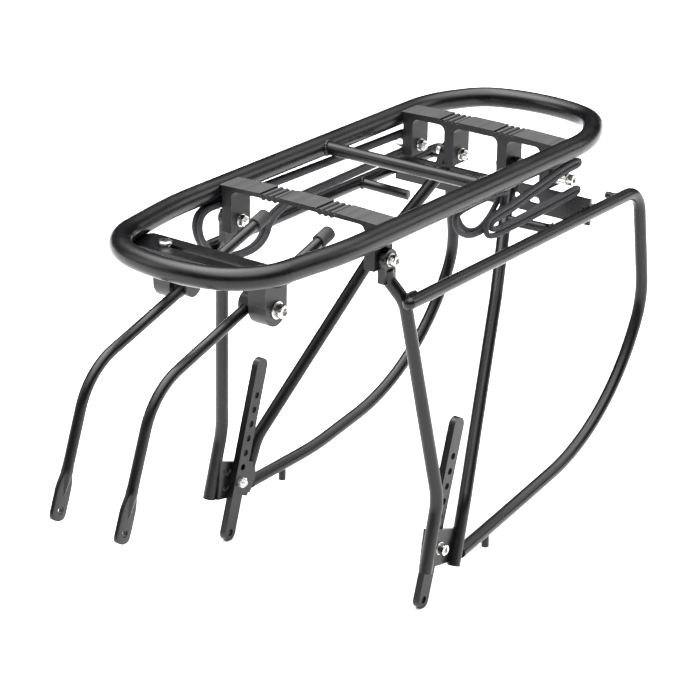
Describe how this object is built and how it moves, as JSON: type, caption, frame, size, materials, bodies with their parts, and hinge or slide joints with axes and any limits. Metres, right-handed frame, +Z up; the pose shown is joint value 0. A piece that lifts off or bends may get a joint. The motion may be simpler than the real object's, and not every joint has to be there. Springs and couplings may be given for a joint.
{
  "type": "bicycle rear rack",
  "caption": "Bicycle rear carrier: tubular deck ring with cross slats, pannier rails with swept hoops, adjustable feet and clamped front stays, with elastic luggage cords.",
  "frame": {"origin": "middle of the underside of the whole rack, at the lowest point of the foot bars", "axes": "+X to the rear of the bicycle, +Y to its right side, +Z up"},
  "size_m": [0.5767, 0.213, 0.3076],
  "materials": {
    "frame_coat": "satin black powder coat",
    "slat_anodised": "sawn and anodised dark grey extrusion",
    "clamp_anodised": "black anodised clamp blocks",
    "zinc": "bright zinc plated fasteners",
    "cord": "black braided elastic cord",
    "cap_rubber": "soft black end caps"
  },
  "bodies": {
    "rack": {"deck_ring": "frame_coat", "front_slat": "slat_anodised", "rear_slat": "slat_anodised", "slot_plate": "frame_coat", "lamp_plate": "frame_coat", "side_frame_right": "frame_coat", "side_frame_left": "frame_coat", "foot_bolts": "zinc", "foot_washers": "zinc", "foot_nuts": "zinc", "front_slat_bolts": "zinc", "rear_slat_bolts": "zinc", "inner_leg_bolts": "zinc", "outer_washers": "zinc", "inner_washers": "zinc", "slat_nuts": "zinc", "cord_spools": "zinc", "cord_right": "cord", "cord_left": "cord", "cord_left_tail": "cord"},
    "foot_right_body": {"foot_right": "frame_coat"},
    "clamp_right": {"clamp_block_right": "clamp_anodised", "plate_screw_right": "zinc"},
    "eye_right": {"clamp_barrel_right": "clamp_anodised", "clamp_screw_right": "zinc", "clamp_washer_right": "zinc"},
    "stay_right_body": {"stay_right": "frame_coat", "stay_cap_right": "cap_rubber"},
    "foot_left_body": {"foot_left": "frame_coat"},
    "clamp_left": {"clamp_block_left": "clamp_anodised", "plate_screw_left": "zinc"},
    "eye_left": {"clamp_barrel_left": "clamp_anodised", "clamp_screw_left": "zinc", "clamp_washer_left": "zinc"},
    "stay_left_body": {"stay_left": "frame_coat", "stay_cap_left": "cap_rubber"}
  },
  "joints": [
    {"name": "foot_right_swing", "type": "hinge", "parent": "rack", "child": "foot_right_body", "pos_m": [-0.00853, 0.09135, 0.0456], "axis": [0, 1, 0], "range_deg": [-12, 15]},
    {"name": "clamp_right_slide", "type": "slide", "parent": "rack", "child": "clamp_right", "axis": [0, 1, 0], "range_m": [-0.02, 0.002]},
    {"name": "eye_right_turn", "type": "hinge", "parent": "clamp_right", "child": "eye_right", "pos_m": [-0.14323, 0.0284, 0.2641], "axis": [0, 1, 0], "range_deg": [-2, 18]},
    {"name": "stay_right_reach", "type": "slide", "parent": "eye_right", "child": "stay_right_body", "axis": [-0.9583, 0, -0.2857], "range_m": [-0.01, 0.06]},
    {"name": "foot_left_swing", "type": "hinge", "parent": "rack", "child": "foot_left_body", "pos_m": [-0.00853, -0.09135, 0.0456], "axis": [0, 1, 0], "range_deg": [-12, 15]},
    {"name": "clamp_left_slide", "type": "slide", "parent": "rack", "child": "clamp_left", "axis": [0, -1, 0], "range_m": [-0.02, 0.002]},
    {"name": "eye_left_turn", "type": "hinge", "parent": "clamp_left", "child": "eye_left", "pos_m": [-0.14323, -0.0284, 0.2641], "axis": [0, 1, 0], "range_deg": [-2, 18]},
    {"name": "stay_left_reach", "type": "slide", "parent": "eye_left", "child": "stay_left_body", "axis": [-0.9583, 0, -0.2857], "range_m": [-0.01, 0.06]}
  ]
}
